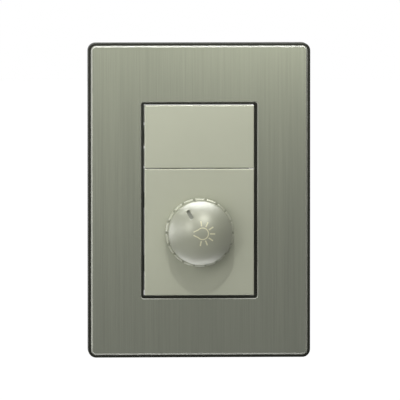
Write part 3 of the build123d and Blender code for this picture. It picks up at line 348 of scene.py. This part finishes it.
def brushed_metal(name, low, high, rough, lines_per_metre, depth=0.00002):
    """Metal brushed along Z."""
    material = new_material(name, 1.0, rough[0])
    brushed = place_group(
        material, brushed_lines, {"Lines per metre": lines_per_metre, "Depth": depth}
    )
    finish_surface(
        material, brushed["Lines"], (low, high), brushed["Bands"], rough, brushed["Normal"]
    )
    return material


def moulded_plastic(name, low, high, rough, metallic=0.0, depth=0.000004):
    """Moulded or lacquered plastic with a fine skin."""
    material = new_material(name, metallic, rough[0])
    skin = place_group(material, moulded_skin, {"Depth": depth})
    finish_surface(material, skin["Clouds"], (low, high), skin["Grain"], rough, skin["Normal"])
    return material


def plated_metal(name, low, high, rough):
    """Plated or pressed metal with a fine even skin."""
    return moulded_plastic(name, low, high, rough, metallic=1.0, depth=0.000003)


def bevelled_facing():
    """The brushed facing, with paler, duller bevels where its edges are cut; the paler tone is
    partly a painted highlight along them.
    """
    material = brushed_metal(
        "brushed_facing",
        (0.082, 0.086, 0.073),
        (0.124, 0.130, 0.109),
        (0.38, 0.46),
        lines_per_metre=3200,
    )
    bevel = place_group(material, cut_edge, {})["Mask"]
    # Partly painted highlight: the paler base colour on the cut bevels stands in for the bright
    # line along the facing's edges.
    lay_over(material, bevel, "Base Color", (0.38, 0.39, 0.33, 1))
    lay_over(material, bevel, "Roughness", 0.6)
    lay_over(material, bevel, "Metallic", 0.0)
    return material


def dull_black():
    """Black moulded rim and lining, with a dull sheen and a painted olive sheen on its slanted
    faces.
    """
    material = moulded_plastic(
        "black_plastic", (0.009, 0.010, 0.006), (0.014, 0.015, 0.010), (0.40, 0.50)
    )
    set_shader(material, {"Specular IOR Level": 0.10})
    slant = place_group(material, cut_edge, {"Steepest": 0.7})["Mask"]
    # Painted sheen: the slanted faces of the rim get an olive tone, standing in for the olive
    # light along its rounded outer edge.
    lay_over(material, slant, "Base Color", (0.012, 0.013, 0.008, 1))
    return material


def champagne_plastic():
    """The lacquered faces of the modules."""
    return moulded_plastic(
        "champagne_plastic",
        (0.355, 0.367, 0.284),
        (0.385, 0.398, 0.309),
        (0.46, 0.54),
        metallic=0.1,
    )


def satin_knob():
    """The knob's shinier skin, with painted shade inside its pointer and a painted highlight on
    the lobes of its skirt.
    """
    material = moulded_plastic(
        "satin_knob", (0.315, 0.325, 0.245), (0.345, 0.355, 0.270), (0.36, 0.42)
    )
    pointer = place_group(material, pointer_shade_mask, {})["Mask"]
    # Painted shade: the base colour is darkened inside the sunk pointer, where shade falls.
    lay_over(material, pointer, "Base Color", (0.20, 0.207, 0.165, 1))
    lobes = place_group(material, lobe_gloss_and_highlight, {})["Mask"]
    # Painted highlight: the lobes of the skirt get a paler base colour for the bright glints along
    # them.
    lay_over(material, lobes, "Base Color", (0.46, 0.472, 0.37, 1))
    lay_over(material, lobes, "Roughness", 0.28)
    return material


def sink_aluminium():
    """The brushed sheet of the heat sink."""
    return brushed_metal(
        "sink_aluminium",
        (0.66, 0.66, 0.67),
        (0.74, 0.74, 0.75),
        (0.32, 0.42),
        lines_per_metre=3000,
    )


def fuse_glass():
    """Clear glass with a faint skin."""
    material = moulded_plastic("fuse_glass", (0.85, 0.88, 0.88), (0.90, 0.92, 0.92), (0.05, 0.10))
    set_shader(material, {"Transmission Weight": 0.8})
    return material


finishes = {
    "brushed_facing": bevelled_facing(),
    "black_plastic": dull_black(),
    "champagne_plastic": champagne_plastic(),
    "sink_aluminium": sink_aluminium(),
    "fuse_glass": fuse_glass(),
}
finishes.update({name: moulded_plastic(name, *look) for name, look in plastics.items()})
finishes.update({name: plated_metal(name, *look) for name, look in plated_metals.items()})


def finish_node(node, material):
    mesh = frame["nodes"][node].data
    mesh.materials.clear()
    mesh.materials.append(material)


for subpart in frame["record"]["subparts"]:
    finish_node(subpart["node"], finishes[subpart["material_slot"]])
finish_node("knob", satin_knob())


def add_modifier(node, name, kind, **settings):
    modifier = frame["nodes"][node].modifiers.new(name, kind)
    for setting, value in settings.items():
        setattr(modifier, setting, value)


def join_seams(node):
    """Joins the faces of a solid along their seams."""
    add_modifier(node, "joined_seams", "WELD", merge_threshold=seam_reach)


def soften_edges(node):
    """Rounds the sharp edges of a solid by a hair, so that they catch the light."""
    join_seams(node)
    add_modifier(
        node,
        "soft_edges",
        "BEVEL",
        width=edge_width,
        segments=edge_steps,
        limit_method="ANGLE",
        angle_limit=edge_angle,
    )
    add_modifier(node, "even_normals", "WEIGHTED_NORMAL", keep_sharp=True)


def even_normals(node):
    """Works the smooth shading out again, so that the dome has no mark at its tip."""
    join_seams(node)
    add_modifier(node, "even_normals", "WEIGHTED_NORMAL", mode="CORNER_ANGLE", keep_sharp=True)


def on_dome(dome, point, lift):
    """A point of the print, given from the dial's centre, on the dome or lifted off it."""
    start = Vector((dial_centre.x + point[0], dome_front - print_search, dial_centre.z + point[1]))
    place, normal, _, _ = dome.ray_cast(start, Vector((0, 1, 0)))
    return place + normal * lift


def add_stroke(bm, dome, path, width):
    """A printed stroke: a thin ribbon over the dome along the path."""
    rows = []
    for place, (x, z) in enumerate(path):
        before = path[max(place - 1, 0)]
        after = path[min(place + 1, len(path) - 1)]
        along = Vector((after[0] - before[0], after[1] - before[1])).normalized() * width / 2
        left = (x - along.y, z + along.x)
        right = (x + along.y, z - along.x)
        rows.append([
            bm.verts.new(on_dome(dome, side, lift))
            for side, lift in (
                (left, -print_lift), (left, print_lift), (right, print_lift), (right, -print_lift)
            )
        ])
    for first, second in zip(rows, rows[1:]):
        for corner in range(4):
            following = (corner + 1) % 4
            bm.faces.new([first[corner], first[following], second[following], second[corner]])
    bm.faces.new(rows[0])
    bm.faces.new(list(reversed(rows[-1])))


def straight(start, end):
    """The points of a straight stroke, no further apart than a print step."""
    count = max(2, math.ceil(math.dist(start, end) / print_step))
    return [
        tuple(a + (b - a) * step / count for a, b in zip(start, end)) for step in range(count + 1)
    ]


def around_bulb(radius, angle):
    return bulb_centre[0] + radius * math.cos(angle), bulb_centre[1] + radius * math.sin(angle)


def bulb_outline():
    """The line round the bulb, from the low end of its neck to the high end."""
    first = math.pi + bulb_opening
    sweep = 2 * math.pi - 2 * bulb_opening
    count = math.ceil(bulb_radius * sweep / print_step)
    arc = [around_bulb(bulb_radius, first + sweep * step / count) for step in range(count + 1)]
    low_neck = (bulb_centre[0] - neck_reach, bulb_centre[1] - neck_half_width)
    high_neck = (bulb_centre[0] - neck_reach, bulb_centre[1] + neck_half_width)
    return straight(low_neck, arc[0])[:-1] + arc + straight(arc[-1], high_neck)[1:]


def lamp_print():
    """The lamp on the dome: a bulb outline that narrows to its neck, and seven rays."""
    knob_mesh = frame["nodes"]["knob"].data
    dome = BVHTree.FromPolygons(
        [vertex.co for vertex in knob_mesh.vertices],
        [face.vertices for face in knob_mesh.polygons],
    )
    bm = bmesh.new()
    add_stroke(bm, dome, bulb_outline(), outline_width)
    for angle in ray_angles:
        ray = straight(around_bulb(ray_start, angle), around_bulb(ray_end, angle))
        add_stroke(bm, dome, ray, ray_width)
    bmesh.ops.recalc_face_normals(bm, faces=bm.faces)
    mesh = bpy.data.meshes.new("lamp_print")
    bm.to_mesh(mesh)
    bm.free()
    mesh.materials.append(
        moulded_plastic("cream_print", (0.64, 0.62, 0.41), (0.70, 0.68, 0.47), (0.45, 0.55))
    )
    piece = link(bpy.data.objects.new("lamp_print", mesh))
    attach(piece, "dial")


lamp_print()
for node in ("blank_insert", "dimmer_cover"):
    soften_edges(node)
even_normals("knob")


def background_rays(tree):
    """1 for the rays that show the background, and 0 for those that light the object."""
    rays = tree.nodes.new("ShaderNodeLightPath").outputs
    shown = rays["Is Camera Ray"]
    for kind in ("Is Glossy Ray", "Is Transmission Ray"):
        shown = calculate(tree, "MAXIMUM", shown, rays[kind])
    return shown


def white_surroundings():
    """White where it is seen or mirrored, and a softer level where it lights the object."""
    world = bpy.data.worlds.new("surroundings")
    world.use_nodes = True
    bpy.context.scene.world = world
    tree = world.node_tree
    strength = rescale(tree, background_rays(tree), {"To Min": ambient_level, "To Max": 1.0})
    connect(tree, tree.nodes["Background"], {"Color": (*white, 1), "Strength": strength})


def pale_floor():
    """A floor well below the plate. It is white to the camera except where shadow falls."""
    mesh = bpy.data.meshes.new("floor")
    corners = [
        (side * floor_reach, end * floor_reach, floor_level)
        for side, end in ((-1, -1), (1, -1), (1, 1), (-1, 1))
    ]
    mesh.from_pydata(corners, [], [(0, 1, 2, 3)])
    material = new_material("pale_floor", metallic=0.0, roughness=0.9)
    set_shader(material, {"Base Color": (*floor_tone, 1), "Specular IOR Level": 0.0})
    tree = material.node_tree
    strength = calculate(tree, "MULTIPLY", background_rays(tree), floor_glow)
    glow = add_node(tree, "ShaderNodeEmission", {"Color": (*white, 1), "Strength": strength})
    shader = tree.nodes["Principled BSDF"]
    both = add_node(tree, "ShaderNodeAddShader", {0: shader.outputs[0], 1: glow.outputs[0]})
    connect(tree, tree.nodes["Material Output"], {"Surface": both.outputs[0]})
    mesh.materials.append(material)
    link(bpy.data.objects.new("floor", mesh))


def add_lamp(name, place, target, width, height, power, colour):
    lamp = bpy.data.lights.new(name, "AREA")
    lamp.shape = "ELLIPSE"
    lamp.size = width
    lamp.size_y = height
    lamp.energy = power
    lamp.color = colour
    obj = link(bpy.data.objects.new(name, lamp))
    obj.location = place
    obj.rotation_euler = (Vector(target) - Vector(place)).to_track_quat("-Z", "Y").to_euler()
    return obj


def photograph_camera():
    camera = bpy.data.cameras.new("camera")
    camera.lens = lens_length
    camera.clip_start = nearest_seen
    camera.clip_end = farthest_seen
    distance_back = frame_width * lens_length / camera.sensor_width
    back = Vector((
        math.sin(view_azimuth) * math.cos(view_elevation),
        -math.cos(view_azimuth) * math.cos(view_elevation),
        math.sin(view_elevation),
    ))
    obj = link(bpy.data.objects.new("camera", camera))
    obj.location = view_centre + back * distance_back
    obj.rotation_euler = (-back).to_track_quat("-Z", "Y").to_euler()
    bpy.context.scene.camera = obj


white_surroundings()
pale_floor()
for lamp_name, values in soft_lamps.items():
    add_lamp(lamp_name, *values).visible_glossy = False
for lamp_name, values in sheen_lamps.items():
    add_lamp(lamp_name, *values).visible_diffuse = False
photograph_camera()
bpy.context.scene.view_settings.view_transform = "Standard"
